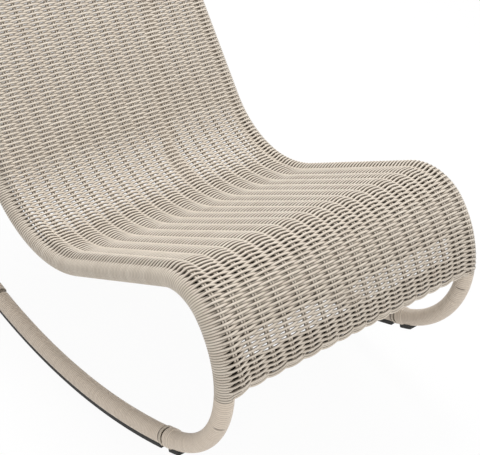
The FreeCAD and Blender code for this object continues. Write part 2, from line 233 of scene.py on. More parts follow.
right = Vector((math.cos(CAMERA_TURN), math.sin(CAMERA_TURN), 0))
ahead = Vector((-math.sin(CAMERA_TURN) * math.cos(CAMERA_TILT),
                math.cos(CAMERA_TURN) * math.cos(CAMERA_TILT), -math.sin(CAMERA_TILT)))
upright = right.cross(ahead)
axes = Matrix([with_roll(right), with_roll(upright), -with_roll(ahead)]).transposed()
stand = rolled(CAMERA_PLACE[1]) + to_rest
camera_data = bpy.data.cameras.new("photo_camera")
camera_data.sensor_fit = "HORIZONTAL"
camera_data.lens = camera_data.sensor_width * FOCAL_PIXELS / PICTURE_WIDTH
camera = bpy.data.objects.new("photo_camera", camera_data)
camera.matrix_world = Matrix.Translation((CAMERA_PLACE[0], stand.real, stand.imag)) @ axes.to_4x4()
bpy.context.scene.collection.objects.link(camera)
bpy.context.scene.camera = camera
print(f"camera {camera.location.length:.2f} m from the chair's foot, lens {camera_data.lens:.1f} mm")

# %% [markdown]
# ## Colours and shader nodes
# Colours are written as sRGB hex values, as a colour picker shows them, and turned to linear light in one
# place. One small function adds a shader node with its settings and links, so a material below reads as a
# list of what it is made of.

# %% Colour and node helpers


def linear(hex_colour):
    """An sRGB hex colour as linear RGBA."""
    channels = [int(hex_colour[place:place + 2], 16) / 255 for place in (1, 3, 5)]
    light = [c / 12.92 if c <= 0.04045 else ((c + 0.055) / 1.055) ** 2.4 for c in channels]
    return (*light, 1.0)


def add_node(tree, kind, sockets, **settings):
    """Adds a node; a socket's value is either a number or colour, or another node's output to link."""
    node = tree.nodes.new(kind)
    for name, value in settings.items():
        setattr(node, name, value)
    for name, value in sockets.items():
        if isinstance(value, bpy.types.NodeSocket):
            tree.links.new(value, node.inputs[name])
        else:
            node.inputs[name].default_value = value
    return node


def new_material(name):
    """An empty material, its node tree and its surface socket."""
    material = bpy.data.materials.new(name)
    material.use_nodes = True
    tree = material.node_tree
    tree.nodes.clear()
    surface = tree.nodes.new("ShaderNodeOutputMaterial").inputs["Surface"]
    return material, tree, surface


def per_metre(millimetres):
    """Noise scale whose patches are about this wide."""
    return 1 / (millimetres * MM)


# %% [markdown]
# ## Cane
# The strands are round peeled cane: a pale grey-beige, satin rather than shiny, with fine darker fibres
# that run along the strand and a slow drift of tone from one strand to the next. Shade is painted into
# the colour as a dark brown: in the grooves where strands touch and on the inner sides of the weave,
# where the weave shades itself. Every strand mesh below carries a grain coordinate (metres along it,
# metres round it, and a number of its own), so the fibres follow the strand round every bend. It also
# carries a shade mask, which is 0 on the strand's crown and rises where shade is painted. The fibres are
# drawn about 0.7 mm wide.

# %% Cane material
GRAIN = "grain"
SHADE_MASK = "shade_mask"
# The dark brown of the painted shade in the grooves and on the inner sides of the weave.
PAINTED_SHADE = "#2F2214"
FIBRE_WIDTH = 0.7
FIBRE_LENGTH = 28
TONE_LENGTH = 160


def cane_material(name, dark, pale, shade_share):
    """Peeled cane: fibres along the strand, a tone of its own for every strand, and painted shade in the
    grooves.
    """
    material, tree, surface = new_material(name)
    grain = add_node(tree, "ShaderNodeAttribute", {}, attribute_name=GRAIN).outputs["Vector"]
    fibre_scale = (per_metre(FIBRE_LENGTH), per_metre(FIBRE_WIDTH), 1)
    fibre_place = add_node(tree, "ShaderNodeMapping", {"Vector": grain, "Scale": fibre_scale})
    fibres = add_node(tree, "ShaderNodeTexNoise", {
        "Vector": fibre_place.outputs["Vector"], "Scale": 1.0, "Detail": 3.0, "Roughness": 0.6,
    }).outputs["Fac"]
    tone_scale = (per_metre(TONE_LENGTH), 1, 1)
    tone_place = add_node(tree, "ShaderNodeMapping", {"Vector": grain, "Scale": tone_scale})
    tone = add_node(tree, "ShaderNodeTexNoise", {
        "Vector": tone_place.outputs["Vector"], "Scale": 1.0, "Detail": 2.0,
    }).outputs["Fac"]
    share = add_node(tree, "ShaderNodeMath", {0: fibres, 1: tone}, operation="ADD").outputs["Value"]
    paleness = add_node(tree, "ShaderNodeMapRange", {
        "Value": share, "From Min": 0.65, "From Max": 1.35,
    }).outputs["Result"]
    crown = add_node(tree, "ShaderNodeMix", {
        "Factor": paleness, "A": linear(dark), "B": linear(pale),
    }, data_type="RGBA").outputs["Result"]
    # Painted shade: the mask darkens the colour towards the dark brown, up to the given share.
    shade_mask = add_node(tree, "ShaderNodeAttribute", {}, attribute_name=SHADE_MASK).outputs["Fac"]
    shaded = add_node(tree, "ShaderNodeMath", {
        0: shade_mask, 1: shade_share,
    }, operation="MULTIPLY", use_clamp=True).outputs["Value"]
    colour = add_node(tree, "ShaderNodeMix", {
        "Factor": shaded, "A": crown, "B": linear(PAINTED_SHADE),
    }, data_type="RGBA").outputs["Result"]
    gloss = add_node(tree, "ShaderNodeMapRange", {
        "Value": fibres, "From Min": 0.3, "From Max": 0.7, "To Min": 0.46, "To Max": 0.34,
    }).outputs["Result"]
    relief = add_node(tree, "ShaderNodeBump", {
        "Height": fibres, "Strength": 0.35, "Distance": 0.15 * MM,
    }).outputs["Normal"]
    cane = add_node(tree, "ShaderNodeBsdfPrincipled", {
        "Base Color": colour, "Roughness": gloss, "IOR": 1.5, "Normal": relief,
    })
    tree.links.new(cane.outputs["BSDF"], surface)
    return material


# The last number is how far the painted shade may darken a strand.
woven_cane = cane_material("woven_peeled_cane", "#C8BBAB", "#E5DBCC", 0.95)
wrapping_cane = cane_material("close_wound_cane", "#CCBDAC", "#E0D2C1", 0.4)
print("cane materials:", woven_cane.name, wrapping_cane.name)

# %% [markdown]
# ## Strands as meshes
# A strand is a tube along a row of centre points. Curves with a bevel would do the same, but some three
# hundred rows of plain weave bend often, and a tube built directly keeps its sides lined up along the
# strand, closes its ends, carries the grain, and stays within a known number of faces.

# %% Strand bundle
BAKE_MAP = "OFBake"
# How strongly shade is painted where strands touch and on the sides that sink under a stake.
SEAM_SHADE = 0.9
WEB_SEAM = 4.0
TURN_SEAM = 2.5
SINK_SHADE = 0.3
END_SHAPE = ((0.9, 0.06), (0.55, 0.8))
LANE_FILL = 0.9


def unit(vectors):
    """Vectors of the same directions and length 1."""
    return vectors / np.linalg.norm(vectors, axis=-1, keepdims=True)


class StrandBundle:
    """Strands gathered into one mesh, with their grain and a map that gives each strand its own lane.

    sides is how many faces go round a strand that add makes; a grid brings its own."""

    def __init__(self, sides=None):
        self.sides = sides
        self.points = []
        self.faces = []
        self.grain = []
        self.shade_mask = []
        self.lanes = []
        self.point_count = 0

    def add(self, centres, square, radius, sink=0.0, seam=WEB_SEAM):
        """Adds a round strand along centres; square points across it, to where it touches its neighbours.

        sink is how far painted shade covers the side a quarter turn before square, or after it where sink is
        negative, and a lower seam leaves more painted shade between neighbours."""
        ways = unit(np.gradient(centres, axis=0))
        radii = np.broadcast_to(np.asarray(radius, float), (len(centres),))
        head = [centres[0] - ways[0] * radii[0] * out for out, _ in END_SHAPE]
        tail = [centres[-1] + ways[-1] * radii[-1] * out for out, _ in reversed(END_SHAPE)]
        shrink = [share for _, share in END_SHAPE]
        spots = np.vstack([head, centres, tail])
        sizes = np.concatenate([np.array(shrink) * radii[0], radii, np.array(shrink[::-1]) * radii[-1]])
        ends = len(END_SHAPE)
        ways = np.vstack([np.repeat(ways[:1], ends, 0), ways, np.repeat(ways[-1:], ends, 0)])
        square = np.broadcast_to(np.asarray(square, float), (len(centres), 3))
        square = np.vstack([np.repeat(square[:1], ends, 0), square, np.repeat(square[-1:], ends, 0)])
        across = unit(square - ways * np.sum(square * ways, axis=1, keepdims=True))
        other = np.cross(ways, across)
        turns = np.arange(self.sides) * 2 * math.pi / self.sides
        rings = across[:, None] * np.cos(turns)[:, None] + other[:, None] * np.sin(turns)[:, None]
        sink = np.pad(np.broadcast_to(np.asarray(sink, float), (len(centres),)), ends)
        seam = np.pad(np.broadcast_to(np.asarray(seam, float), (len(centres),)), ends, mode="edge")
        # Painted shade: darker where a strand touches its neighbours and on its side that sinks under a
        # stake.
        between = SEAM_SHADE * np.abs(np.cos(turns)) ** seam[:, None]
        shade_mask = np.clip(-SINK_SHADE * sink[:, None] * np.sin(turns), between, 1)
        self.add_grid(spots[:, None] + rings * sizes[:, None, None], 2 * math.pi * radii.max(), shade_mask)

    def add_grid(self, grid, girth, shade_mask, closed=True):
        """Adds a grid of points (stations along, sides round) as quads, joined into a ring if closed."""
        stations, sides = grid.shape[:2]
        columns = np.arange(sides if closed else sides - 1)
        rows = np.arange(stations - 1)
        row, column = [part.ravel() for part in np.meshgrid(rows, columns, indexing="ij")]
        beside = (column + 1) % sides
        corners = [(row, column), (row, beside), (row + 1, beside), (row + 1, column)]
        quads = np.stack([self.point_count + r * sides + c for r, c in corners], axis=1)
        middles = grid.mean(axis=1)
        steps = np.linalg.norm(np.diff(middles, axis=0), axis=1)
        lengths = np.concatenate([[0], np.cumsum(steps)])
        rounds = [(row, column), (row, column + 1), (row + 1, column + 1), (row + 1, column)]
        along = np.stack([lengths[r] for r, _ in rounds], axis=1)
        share = np.stack([c / len(columns) for _, c in rounds], axis=1)
        number = np.full_like(along, len(self.lanes))
        self.points.append(grid.reshape(-1, 3))
        self.faces.append(quads)
        self.shade_mask.append(np.broadcast_to(shade_mask, (stations, sides)).ravel())
        self.grain.append(np.stack([along, share * girth, number], axis=2))
        self.lanes.append(np.stack([along / lengths[-1], number + LANE_FILL * share], axis=2))
        self.point_count += stations * sides

    def make(self, name, material, slot, *nodes):
        """Builds the piece, which stands for CAD nodes and rides with the chair."""
        faces = np.concatenate(self.faces)
        mesh = bpy.data.meshes.new(name)
        mesh.from_pydata(np.concatenate(self.points), [], faces)
        mesh.shade_smooth()
        grain = mesh.attributes.new(GRAIN, "FLOAT_VECTOR", "CORNER")
        grain.data.foreach_set("vector", np.concatenate(self.grain).ravel())
        shade_mask = mesh.attributes.new(SHADE_MASK, "FLOAT", "POINT")
        shade_mask.data.foreach_set("value", np.concatenate(self.shade_mask))
        lanes = np.concatenate(self.lanes)
        lanes[:, :, 1] /= len(self.lanes)
        mesh.uv_layers.new(name=BAKE_MAP).data.foreach_set("uv", lanes.ravel())
        mesh.materials.append(material)
        piece = bpy.data.objects.new(name, mesh)
        bpy.context.scene.collection.objects.link(piece)
        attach(piece, "root")
        if nodes:
            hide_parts(*nodes)
        print(f"{name}: {len(self.lanes)} strands, {2 * len(faces)} triangles")
        return piece


def in_space(x, distance, offset):
    """Points of the chair from X, a distance along the loop and an offset to its outer side."""
    place, _ = locate(distance, offset)
    return np.stack([np.broadcast_to(x, place.shape), place.real, place.imag], axis=-1)


# %% [markdown]
# ## Plain weave
# The web is plain weave. Seventeen stakes, each a pair of strands laid side by side, follow the loop from
# skirt to head, and single weft strands go over one stake and under the next, the other way about in the
# next row. At each end a weft turns once round the side pole, which is what covers the pole beside the
# web. The weaver beats every row down on the last one, so the rows are evenly close on the web's outer
# face. Along the pole's middle line that is a shorter step round an outward bend and a longer one in a
# hollow.

# %% Weave sizes and rows
STRAND_RADIUS = 2.5 * MM
STAKE_RADIUS = 2.4 * MM
STAKE_COUNT = 17
STAKE_STEP = 36.25 * MM
STAKE_REACH = STAKE_STEP * (STAKE_COUNT - 1) / 2
WEB_OFFSET = 12 * MM
CRIMP = 4 * MM
STAKE_CRIMP = 0.9 * MM
WIND_RADIUS = POLE_RADIUS - STRAND_RADIUS
ROW_PITCH = 4.55 * MM


def row_step(distance):
    """Step along the pole's middle line that is one row pitch on the web's outer face."""
    run = np.searchsorted(RUN_ENDS, distance, side="right")
    curve = RUN_TURNS[run] / RUN_LENGTHS[run]
    return ROW_PITCH / (1 - curve * POLE_RADIUS)


def weft_rows(first, last):
    """Distances of the weft rows between two places of the loop."""
    rows = [first]
    while rows[-1] < last:
        rows.append(rows[-1] + row_step(rows[-1]))
    return np.array(rows[:-1])


ROWS = weft_rows(SKIRT_EDGE + STRAND_RADIUS, HEAD_EDGE - STRAND_RADIUS)
print(f"{len(ROWS)} weft rows over {STAKE_COUNT} pairs of stakes")

# %% [markdown]
# ## Where the stakes stand
# The stakes are evenly spaced on the back, but the web is not quite in the middle of the chair, and its
# outer pairs ride up on the shoulders of the poles. On the skirt, and less and less along the seat, the
# stakes were pushed aside: left of the middle they lean towards it, so the gaps there are wide, and
# narrow on the other side. Near the border most of them lean further to the right. The turns round the
# poles take more room than the rows between them, so towards the border the rows settle lower and lower
# at their ends. Wefts and stakes ask the same three functions where an even place of the web really lies,
# and the border asks the first.

# %% Lean, lift and settling of the web
WEB_SHIFT = 4 * MM
EDGE_LIFT = 6 * MM
LEAN = 18 * MM
LEAN_MIDDLE = -75 * MM
LEAN_SPAN = 400 * MM
LOW_LEAN = 9 * MM
LOW_LEAN_HEIGHT = 65 * MM
LOW_LEAN_FADE = 150 * MM
BORDER_REACH = HALF_TRACK - 4 * MM
SETTLE = 5 * MM
SETTLE_HEIGHT = 120 * MM
SETTLE_START = 284 * MM
SETTLE_END = 300 * MM


def ease(share):
    """Runs smoothly from 0 to 1."""
    share = np.clip(share, 0, 1)
    return share * share * (3 - 2 * share)


def leaned(x, distance):
    """Where an even place across the web lies at a distance along the loop."""
    bump = np.cos(math.pi * np.clip((x - LEAN_MIDDLE) / LEAN_SPAN, -0.5, 0.5)) ** 2
    lean = LEAN * bump * (1 - ease((distance - NOSE_START) / (LUMBAR_START - NOSE_START)))
    held = ease((x + BORDER_REACH) / (BORDER_REACH - STAKE_REACH)) * ease((STAKE_REACH - x) / LOW_LEAN_FADE)
    low = LOW_LEAN * held * (1 - ease((distance - SKIRT_EDGE) / LOW_LEAN_HEIGHT))
    return x + WEB_SHIFT + lean + low


def lift(x):
    """How far the web is raised at an even place, on its way up a pole's shoulder."""
    return EDGE_LIFT * ease((np.abs(x) - STAKE_REACH) / STAKE_STEP + 1)


def settled(distance, reach):
    """Where a row at a distance along the loop lies at a reach from the web's middle."""
    low = np.clip(1 - (distance - SKIRT_EDGE) / SETTLE_HEIGHT, 0, 1) ** 2
    return distance - SETTLE * low * ease((np.abs(reach) - SETTLE_START) / (SETTLE_END - SETTLE_START))


skirt_gaps = np.diff(leaned(np.arange(STAKE_COUNT) * STAKE_STEP - STAKE_REACH, SKIRT_EDGE))
print(f"stakes {skirt_gaps.min() * 1000:.0f} to {skirt_gaps.max() * 1000:.0f} mm apart on the skirt")

# %% [markdown]
# ## One weft row
# A row lies in the plane square to the pole. Between the poles its height is a cosine that is flattened
# over each stake, because a strand bends round the pair and not at one point. At its end it goes over or
# under the outer pair and on, without a kink, to the pole, where it turns once and drifts by one row as
# it goes, so that it comes back where the next row begins. Neighbours part on the pole's crown, one up
# and one down, and leave a wedge-shaped gap beside the outer pair. The plane's points are complex numbers
# too, reach from the middle of the chair plus offset j, and the stretch to the pole is a cubic with given
# directions.

# %% Weft row
STATIONS_PER_STEP = 8
STRAND_SIDES = 8
LANDING_OVER = math.radians(120)
LANDING_UNDER = math.radians(85)
MEET_ANGLE = math.radians(75)
WIND_END = math.radians(372)
WIND_STATION = math.radians(18)
BRIDGE_STATIONS = 5
FLATTENING = 0.1


def wave(x, side):
    """Wave of a row, from -1 under a stake to 1 over it; side is its value at the outer pairs."""
    swing = side * np.cos(math.pi * (x + STAKE_REACH) / STAKE_STEP)
    return swing * (1 + FLATTENING - FLATTENING * swing ** 2)


def web_height(x, side):
    """Offset of a row over the even place x."""
    return WEB_OFFSET + lift(x) + CRIMP * wave(x, side)


def on_pole(angle):
    """Point of a turn round the pole: 0 faces the web and a quarter turn is the outer side."""
    return HALF_TRACK - WIND_RADIUS * heading_to(-angle)


def bridge(start, start_way, end, end_way):
    """Inner points of a smooth path between two points, with its directions at both."""
    share = np.linspace(0, 1, BRIDGE_STATIONS + 2)[1:-1]
    pull = abs(end - start)
    path = start + (end - start) * ease(share)
    return path + pull * share * (1 - share) * (start_way * (1 - share) - end_way * share)


def row_end(side, hand):
    """Points and turned angles of a row's end at the left (hand -1) or right pole, outwards from the web."""
    even = hand * STAKE_REACH
    edge = hand * leaned(even, LOOP_LENGTH) + 1j * web_height(even, side)
    landing = LANDING_OVER if side == 1 else LANDING_UNDER
    angles = np.arange(landing, WIND_END, WIND_STATION)
    path = bridge(edge, 1, on_pole(angles[0]), 1j * heading_to(-angles[0]))
    arrival = (angles[0] - MEET_ANGLE) * np.arange(1, BRIDGE_STATIONS + 1) / (BRIDGE_STATIONS + 1)
    return np.concatenate([path, on_pole(angles)]), np.concatenate([arrival, angles - MEET_ANGLE])


ROW_ENDS = {(side, hand): row_end(side, hand) for side in (1, -1) for hand in (-1, 1)}


def weft_row(number):
    """Centre points of one row, from its turn round the left pole to the right one's, its sink and seam."""
    distance = ROWS[number]
    side = 1 if number % 2 else -1
    steps = (STAKE_COUNT - 1) * STATIONS_PER_STEP + 1
    even = np.linspace(-STAKE_REACH, STAKE_REACH, steps)
    left, left_turned = ROW_ENDS[side, -1]
    right, right_turned = ROW_ENDS[side, 1]
    turned = np.concatenate([left_turned[::-1], np.zeros(steps), right_turned])
    x = np.concatenate([-left.real[::-1], leaned(even, distance), right.real])
    offset = np.concatenate([left.imag[::-1], web_height(even, side), right.imag])
    sink = np.pad(wave(even, side), (len(left), len(right)))
    left_reach = np.maximum.accumulate(left.real)[::-1]
    reach = np.concatenate([left_reach, even, np.maximum.accumulate(right.real)])
    along = settled(distance, reach) + row_step(distance) * turned / (2 * math.pi)
    return in_space(x, along, offset), sink, np.where(turned > 0, TURN_SEAM, WEB_SEAM)


def weave(name, first, last, node):
    """One stretch of the web's weft rows."""
    bundle = StrandBundle(STRAND_SIDES)
    for number in np.flatnonzero((ROWS >= first) & (ROWS < last)):
        _, heading = locate(ROWS[number])
        square = (0, math.cos(heading), math.sin(heading))
        centres, sink, seam = weft_row(number)
        bundle.add(centres, square, STRAND_RADIUS, sink, seam)
    return bundle.make(name, woven_cane, "weave", node)


BACK_MIDDLE = (BACK_START + TOP_START) / 2
weave("front_weave", SKIRT_EDGE, SEAT_START, "front_web")
weave("seat_weave", SEAT_START, LUMBAR_START, "seat_web")
weave("lumbar_weave", LUMBAR_START, BACK_START, "lumbar_web")
weave("lower_back_weave", BACK_START, BACK_MIDDLE, "back_web")
weave("upper_back_weave", BACK_MIDDLE, TOP_START, "back_web")
weave("head_weave", TOP_START, HEAD_EDGE, "head_web")

# %% [markdown]
# ## Stakes
# The stakes are cane of nearly the same thickness, laid close in pairs and pulled tight, so they wave
# much less than the wefts. The wave has to know the rows, so a stake is drawn by row number, three
# stations to a row, and the distance along the loop is read off the list of rows.

# %% Stakes
STAKE_GAP = 5 * MM
STAKE_SIDES = 6
STATIONS_PER_ROW = 3
WEB_ENDS = {
    "front": SEAT_START,
    "seat": LUMBAR_START,
    "lumbar": BACK_START,
    "back": TOP_START,
    "head": HEAD_EDGE,
}


def stakes(name, first, last):
    """All stakes between two row numbers."""
    bundle = StrandBundle(STAKE_SIDES)
    rows = np.linspace(first, last, (last - first) * STATIONS_PER_ROW + 1)
    distances = np.interp(rows, np.arange(len(ROWS)), ROWS)
    for number in range(STAKE_COUNT):
        even = number * STAKE_STEP - STAKE_REACH
        swing = math.cos(math.pi * number) * np.cos(math.pi * rows)
        offset = WEB_OFFSET + lift(even) + STAKE_CRIMP * swing
        for way in (-1, 1):
            x = leaned(even, distances) + way * STAKE_GAP / 2
            bundle.add(in_space(x, settled(distances, even), offset), (1, 0, 0), STAKE_RADIUS)
    return bundle.make(name, woven_cane, "weave")


first = 0
for web, web_end in WEB_ENDS.items():
    last = min(int(np.searchsorted(ROWS, web_end)), len(ROWS) - 1)
    stakes(f"{web}_stakes", first, last)
    first = last

# %% [markdown]
# ## Scalloped borders
# Below the skirt and past the head the stakes' ends are turned sideways and laid in a border: two strands
# bow round each pair of stakes, start behind the last bow and end in front of the next one. The end bows
# droop to the poles. Below the skirt a strand is wound on there for two turns more, before the close
# wrapping begins.

# %% Borders
BOW_DEPTHS = (0.5 * MM, 5 * MM)
BOW_SAG = 3.2 * MM
BOW_LAP = 5 * MM
BOW_TILT = 2.6 * MM
BOW_BACK = 6 * MM
BOW_STATIONS = 15
DROOP = 5 * MM
DROOP_START = 266 * MM
BORDER_TURNS = 2
BORDER_PITCH = 4.9 * MM
FIRST_LOOP = settled(ROWS[0], SETTLE_END) - BORDER_TURNS * BORDER_PITCH
LAST_LOOP = ROWS[-1] + row_step(ROWS[-1])


def wound_on(bundle, hand, first, turns):
    """Adds a strand wound round the left (hand -1) or right pole from a distance onwards."""
    turned = np.arange(0, turns * 2 * math.pi, WIND_STATION)
    spot = on_pole(MEET_ANGLE + turned)
    _, heading = locate(first)
    square = (0, math.cos(heading), math.sin(heading))
    distance = first + BORDER_PITCH * turned / (2 * math.pi)
    bundle.add(in_space(hand * spot.real, distance, spot.imag), square, STRAND_RADIUS, seam=TURN_SEAM)


def border(name, edge, way, node):
    """A border along the web's edge; way is -1 below the skirt and 1 past the head."""
    bundle = StrandBundle(STRAND_SIDES)
    for number in range(STAKE_COUNT):
        share = np.linspace(0, 1, BOW_STATIONS)
        even = number * STAKE_STEP - STAKE_REACH + (share - 0.5) * (STAKE_STEP + 2 * BOW_LAP)
        inside = np.abs(even) <= BORDER_REACH
        share = share[inside]
        even = even[inside]
        x = leaned(even, edge) - BOW_BACK
        droop = DROOP * ease((np.abs(even) - DROOP_START) / (BORDER_REACH - DROOP_START))
        offset = WEB_OFFSET - BOW_TILT * np.cos(math.pi * share)
        for depth in BOW_DEPTHS:
            distance = edge + way * (depth + droop + BOW_SAG * (2 * np.sin(math.pi * share) - 1))
            bundle.add(in_space(x, distance, offset), (0, 0, 1), STRAND_RADIUS)
    if way == -1:
        wound_on(bundle, -1, FIRST_LOOP, BORDER_TURNS)
        wound_on(bundle, 1, FIRST_LOOP, BORDER_TURNS)
    return bundle.make(name, woven_cane, "weave", node)


border("skirt_scallops", SKIRT_EDGE, -1, "skirt_border")
border("head_scallops", HEAD_EDGE, 1, "head_border")

# %% [markdown]
# ## Close wrapping
# Where there is no web, the poles are wound with the same cane, flattened, turn against turn. The winding
# is one helix, so its mesh is a helix too: a strip one turn wide whose edges meet the next turn's edges
# in a crisp groove. A lathe with grooves would be simpler, but its rings would not climb along the pole.
# Each winding starts where the weft or the border ends, or at a joint. There it dips under the reed
# binding and, on the rocker, a little way beside it, and shade is painted into the dip, so that a dark
# groove shows on both sides of the reed. On the side pole it is wound double for the first few turns past
# the joint, which shows as a slight swelling. On each front bend one length of cane is spliced to the
# next, and a short gap, sunk a little and painted dark as shade, shows between their ends. Shade is also
# painted along the edges of every turn, in the groove between turns.

# %% Close wrapping
WRAP_PITCH = 4.3 * MM
WRAP_RELIEF = 0.75 * MM
WRAP_SIDES = 36
WRAP_PROFILE = np.linspace(-1, 1, 6)
WRAP_SHOULDER = 2.5
# Painted shade of the wrapping: along the edges of each turn, in the dips beside the bindings and in the
# splice gap.
SHADE_SHOULDER = 4
MOST_SHADE = 2
DIP_DEPTH = 1 * MM
DIP_SHIFT = 2.75 * MM
DIP_REACH = (5.75 * MM, 7.25 * MM)
DIP_SHADE = 1.6
SWELLING = 2 * MM
SWELLING_REACH = (4.5 * MM, 8 * MM, 20 * MM, 26 * MM)
SPLICES = {1: (777 * MM, math.radians(133)), -1: (803 * MM, math.radians(28))}
SPLICE_DEPTH = 1.2 * MM
SPLICE_SHADE = 2
SPLICE_WIDTH = 1.2 * MM
SPLICE_REACH = math.radians(40)


def joint_dip(distance):
    """1 under the reed bindings and beside them on the rocker, and 0 away from the joints."""
    middles = (FRONT_JOINT - DIP_SHIFT, DIP_SHIFT, LOOP_LENGTH + DIP_SHIFT)
    nearest = np.min([np.abs(distance - middle) for middle in middles], axis=0)
    return 1 - ease((nearest - DIP_REACH[0]) / (DIP_REACH[1] - DIP_REACH[0]))


def wrap_radius(distance):
    """Outer radius of the wrapping, which changes near the joints."""
    rise_first, rise_last, fall_first, fall_last = SWELLING_REACH
    swelling = 0
    for past in (distance - FRONT_JOINT, LOOP_LENGTH - distance):
        rise = ease((past - rise_first) / (rise_last - rise_first))
        swelling = swelling + rise * (1 - ease((past - fall_first) / (fall_last - fall_first)))
    return POLE_RADIUS - DIP_DEPTH * joint_dip(distance) + SWELLING * swelling


def splice(mirror, distance, angle):
    """1 in the gap between two lengths of cane and 0 elsewhere."""
    place, middle = SPLICES[mirror]
    aside = np.abs((angle - middle + math.pi) % (2 * math.pi) - math.pi)
    return np.exp(-((distance - place) / SPLICE_WIDTH) ** 2) * ease(2 - 2 * aside / SPLICE_REACH)


def close_wrap(name, mirror, start, end, *nodes):
    """Cane wound turn against turn from one distance towards another; mirror is 1 left and -1 right."""
    way = 1 if end > start else -1
    stations = np.arange(int(abs(end - start) / WRAP_PITCH * WRAP_SIDES) + 1)[:, None]
    turned = way * stations * 2 * math.pi / WRAP_SIDES
    angle = MEET_ANGLE + turned
    distance = start + WRAP_PITCH * (turned / (2 * math.pi) + WRAP_PROFILE / 2)
    gap = splice(mirror, distance, angle)
    relief = WRAP_RELIEF * np.abs(WRAP_PROFILE) ** WRAP_SHOULDER
    radius = wrap_radius(distance) - relief - SPLICE_DEPTH * gap
    x = mirror * (radius * np.cos(angle) - HALF_TRACK)
    grid = in_space(x, distance, radius * np.sin(angle))
    bundle = StrandBundle()
    # Painted shade: darker at the edges of each turn, in the splice gap and in the dips by the bindings.
    shade_amount = WRAP_PROFILE ** SHADE_SHOULDER + SPLICE_SHADE * gap + DIP_SHADE * joint_dip(distance)
    shade_mask = np.clip(shade_amount, 0, MOST_SHADE)
    bundle.add_grid(grid[::way * mirror], WRAP_PITCH, shade_mask[::way * mirror], closed=False)
    return bundle.make(name, wrapping_cane, "pole", *nodes)


for side, mirror in (("left", 1), ("right", -1)):
    close_wrap(f"{side}_front_wrap", mirror, FIRST_LOOP, FRONT_JOINT)
    close_wrap(f"{side}_rocker_wrap", mirror, 0, FRONT_JOINT, f"{side}_rocker_pole")
    close_wrap(f"{side}_leg_wrap", mirror, LAST_LOOP, LOOP_LENGTH)

# %% [markdown]
# ## Poles under the cane
# Under the wrapping and the weft's turns is the bare rattan pole. It shows only in the slots where the
# turns fan out round the nose, and its near-black colour is painted shade that makes the slots look
# deep.

# %% Dark shade material and pole cores


def dark_shade_material(name, dark, pale, grain_width, grain_length):
    """Dark, dull wood with long streaks, its near-black colour painted shade for what shows through slots.
    """
    material, tree, surface = new_material(name)
    grain = add_node(tree, "ShaderNodeAttribute", {}, attribute_name=GRAIN).outputs["Vector"]
    scale = (per_metre(grain_length), per_metre(grain_width), 1)
    place = add_node(tree, "ShaderNodeMapping", {"Vector": grain, "Scale": scale})
    streaks = add_node(tree, "ShaderNodeTexNoise", {
        "Vector": place.outputs["Vector"], "Scale": 1.0, "Detail": 4.0,
    }).outputs["Fac"]
    colour = add_node(tree, "ShaderNodeMix", {
        "Factor": streaks, "A": linear(dark), "B": linear(pale),
    }, data_type="RGBA").outputs["Result"]
    relief = add_node(tree, "ShaderNodeBump", {"Height": streaks, "Strength": 0.4, "Distance": 0.2 * MM})
    dark_shade_finish = add_node(tree, "ShaderNodeBsdfPrincipled", {
        "Base Color": colour, "Roughness": 0.65, "IOR": 1.5, "Specular IOR Level": 0.2,
        "Normal": relief.outputs["Normal"],
    })
    tree.links.new(dark_shade_finish.outputs["BSDF"], surface)
    return material


# Near-black painted shade for the slots round the nose.
dark_shade_core = dark_shade_material("dark_shade_core", "#2B231C", "#4A3D31", 2.5, 90)
CORE_RADIUS = WIND_RADIUS - STRAND_RADIUS
CORE_STATION = 8 * MM
CORE_SIDES = 24


def core(name, x, first, last, *nodes):
    """Bare pole between two distances."""
    bundle = StrandBundle(CORE_SIDES)
    distances = np.linspace(first, last, int((last - first) / CORE_STATION))
    bundle.add(in_space(x, distances, 0.0), (1, 0, 0), CORE_RADIUS)
    return bundle.make(name, dark_shade_core, "pole", *nodes)


for side, x in (("left", -HALF_TRACK), ("right", HALF_TRACK)):
    core(f"{side}_pole_core", x, FRONT_JOINT, LOOP_LENGTH, f"{side}_side_pole")

# %% [markdown]
# ## Front panel
# Through the slots of the skirt and the nose shade shows dark, and daylight only through a long
# window with straight edges. So a near-black board is bent round behind the weave there as painted
# shade, from the skirt's edge up over the nose, with one long slot across it. It is made of four strips
# that butt against each other round the slot.

# %% Front panel
PANEL_OFFSET = 1.5 * MM
PANEL_THICKNESS = 5 * MM
PANEL_REACH = HALF_TRACK - 12.5 * MM
PANEL_STATION = 6 * MM
PANEL_EDGE = 0.8 * MM
EDGE_SHARE = 0.05
PANEL_TOP = SEAT_START + 45 * MM
PANEL_BOTTOM = SKIRT_EDGE - 8 * MM
SLOT_LEFT = -262 * MM
SLOT_RIGHT = 248 * MM
SLOT_LOW = SKIRT_EDGE + 33 * MM
SLOT_HIGH = SKIRT_EDGE + 74 * MM


def panel_strip(bundle, low_x, high_x, first, last):
    """One strip of the board, bent along the loop between two distances."""
    distances = np.linspace(first, last, int((last - first) / PANEL_STATION) + 2)
    around = np.concatenate([distances[::-1], distances])
    face = np.repeat([0.5, -0.5], len(distances)) * PANEL_THICKNESS
    x = np.array([low_x, low_x + PANEL_EDGE, high_x - PANEL_EDGE, high_x])[:, None]
    thinned = np.array([EDGE_SHARE, 1, 1, EDGE_SHARE])[:, None]
    bundle.add_grid(in_space(x, around[None], PANEL_OFFSET + thinned * face), 2 * (last - first), 0.0)


# The board's near-black colour is painted shade, seen through the slots.
shade_board = dark_shade_material("painted_shade_board", "#170F07", "#2C1F12", 4, 150)
panel = StrandBundle()
panel_strip(panel, -PANEL_REACH, PANEL_REACH, PANEL_BOTTOM, SLOT_LOW)
panel_strip(panel, -PANEL_REACH, PANEL_REACH, SLOT_HIGH, PANEL_TOP)
panel_strip(panel, -PANEL_REACH, SLOT_LEFT, SLOT_LOW, SLOT_HIGH)
panel_strip(panel, SLOT_RIGHT, PANEL_REACH, SLOT_LOW, SLOT_HIGH)
panel.make("front_panel", shade_board, "inner_wood")
